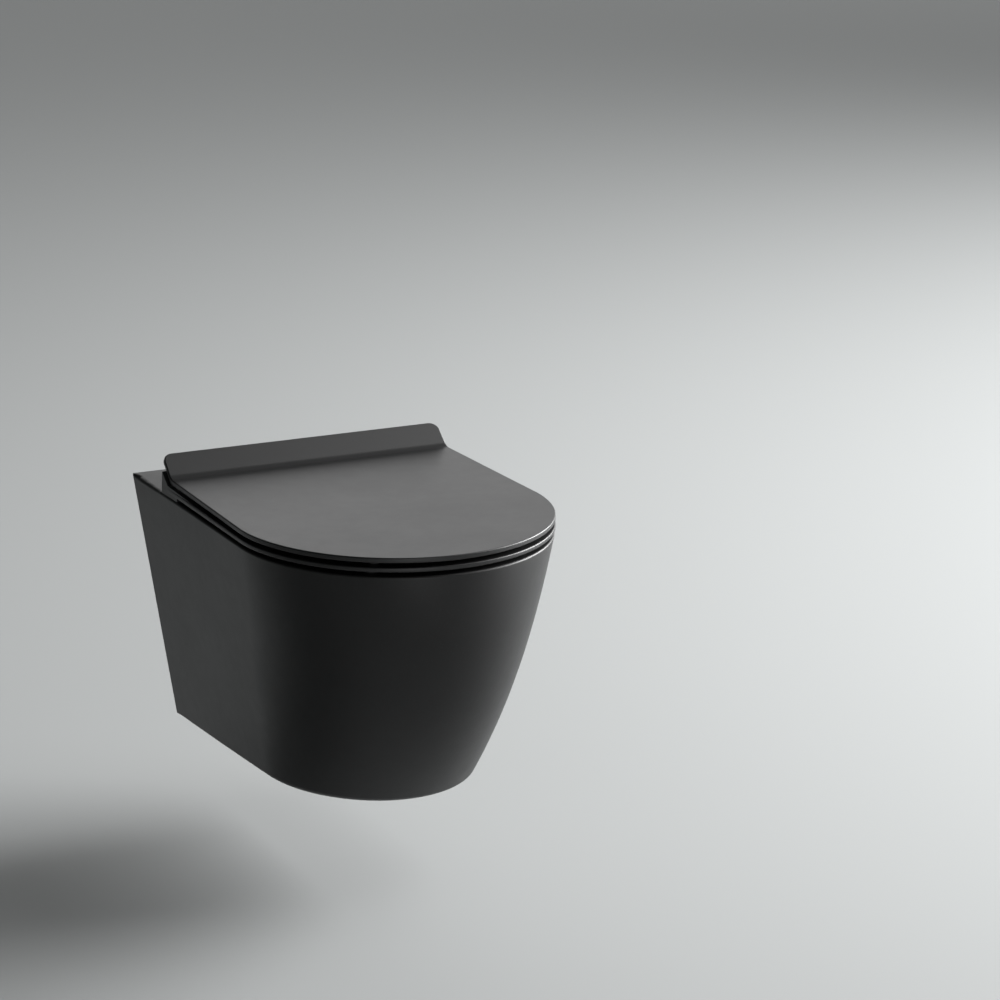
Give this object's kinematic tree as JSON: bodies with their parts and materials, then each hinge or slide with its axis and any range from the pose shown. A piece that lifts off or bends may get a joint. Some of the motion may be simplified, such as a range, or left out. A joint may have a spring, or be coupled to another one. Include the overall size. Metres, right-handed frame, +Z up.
{
  "type": "wall hung toilet",
  "caption": "Wall hung toilet: a tapering hollow pan with basin, trap and rear sockets, a slim seat and an overlapping lid with an upturned rear flange on damped hinges.",
  "frame": {"origin": "midpoint of the two wall stud holes, on the back face", "axes": "+X to the right along the wall as seen facing it, +Y into the wall, +Z up"},
  "size_m": [0.36, 0.5348, 0.3404],
  "materials": {
    "ceramic": "matt black glaze",
    "seat_plastic": "matt black, moulded",
    "lid_plastic": "matt black, moulded",
    "black_plastic": "matt black",
    "button_plastic": "satin black",
    "damper_plastic": "satin dark grey",
    "post_metal": "matt black coating on zinc",
    "stainless": "brushed",
    "zinc_steel": "zinc plated",
    "rubber": "matt",
    "brass": "turned"
  },
  "bodies": {
    "pan": {"pan_skin": "ceramic", "pan_deck": "ceramic", "pan_basin": "ceramic", "pan_trap": "ceramic", "pan_inlet": "ceramic", "stud_sleeves": "zinc_steel", "grub_screws": "zinc_steel", "flush_spreader": "black_plastic", "hinge_plates": "stainless", "hinge_bolts": "stainless", "expansion_sleeves": "rubber", "cone_nuts": "brass", "hinge_post_right": "post_metal", "hinge_post_left": "post_metal", "hinge_pins": "stainless"},
    "seat": {"seat_ring": "seat_plastic", "seat_buffers": "rubber", "seat_damper": "damper_plastic", "seat_bush": "damper_plastic"},
    "lid": {"lid": "lid_plastic", "lid_buffers": "rubber", "lid_damper": "damper_plastic", "lid_bush": "damper_plastic"},
    "button_right": {"release_button_right": "button_plastic"},
    "button_left": {"release_button_left": "button_plastic"}
  },
  "joints": [
    {"name": "lid_hinge", "type": "hinge", "parent": "pan", "child": "lid", "pos_m": [0, -0.086, 0.104], "axis": [-1, 0, 0], "range_deg": [0, 96]},
    {"name": "seat_hinge", "type": "hinge", "parent": "pan", "child": "seat", "pos_m": [0, -0.086, 0.104], "axis": [-1, 0, 0], "range_deg": [0, 94]},
    {"name": "button_right_press", "type": "slide", "parent": "pan", "child": "button_right", "axis": [0, -1, 0], "range_m": [0, 0.0025], "stiffness_N_per_m": 400},
    {"name": "button_left_press", "type": "slide", "parent": "pan", "child": "button_left", "axis": [0, -1, 0], "range_m": [0, 0.0025], "stiffness_N_per_m": 400}
  ],
  "couplings": [
    {"joint": "seat_hinge", "follows": "lid_hinge", "ratio": 0.97}
  ]
}
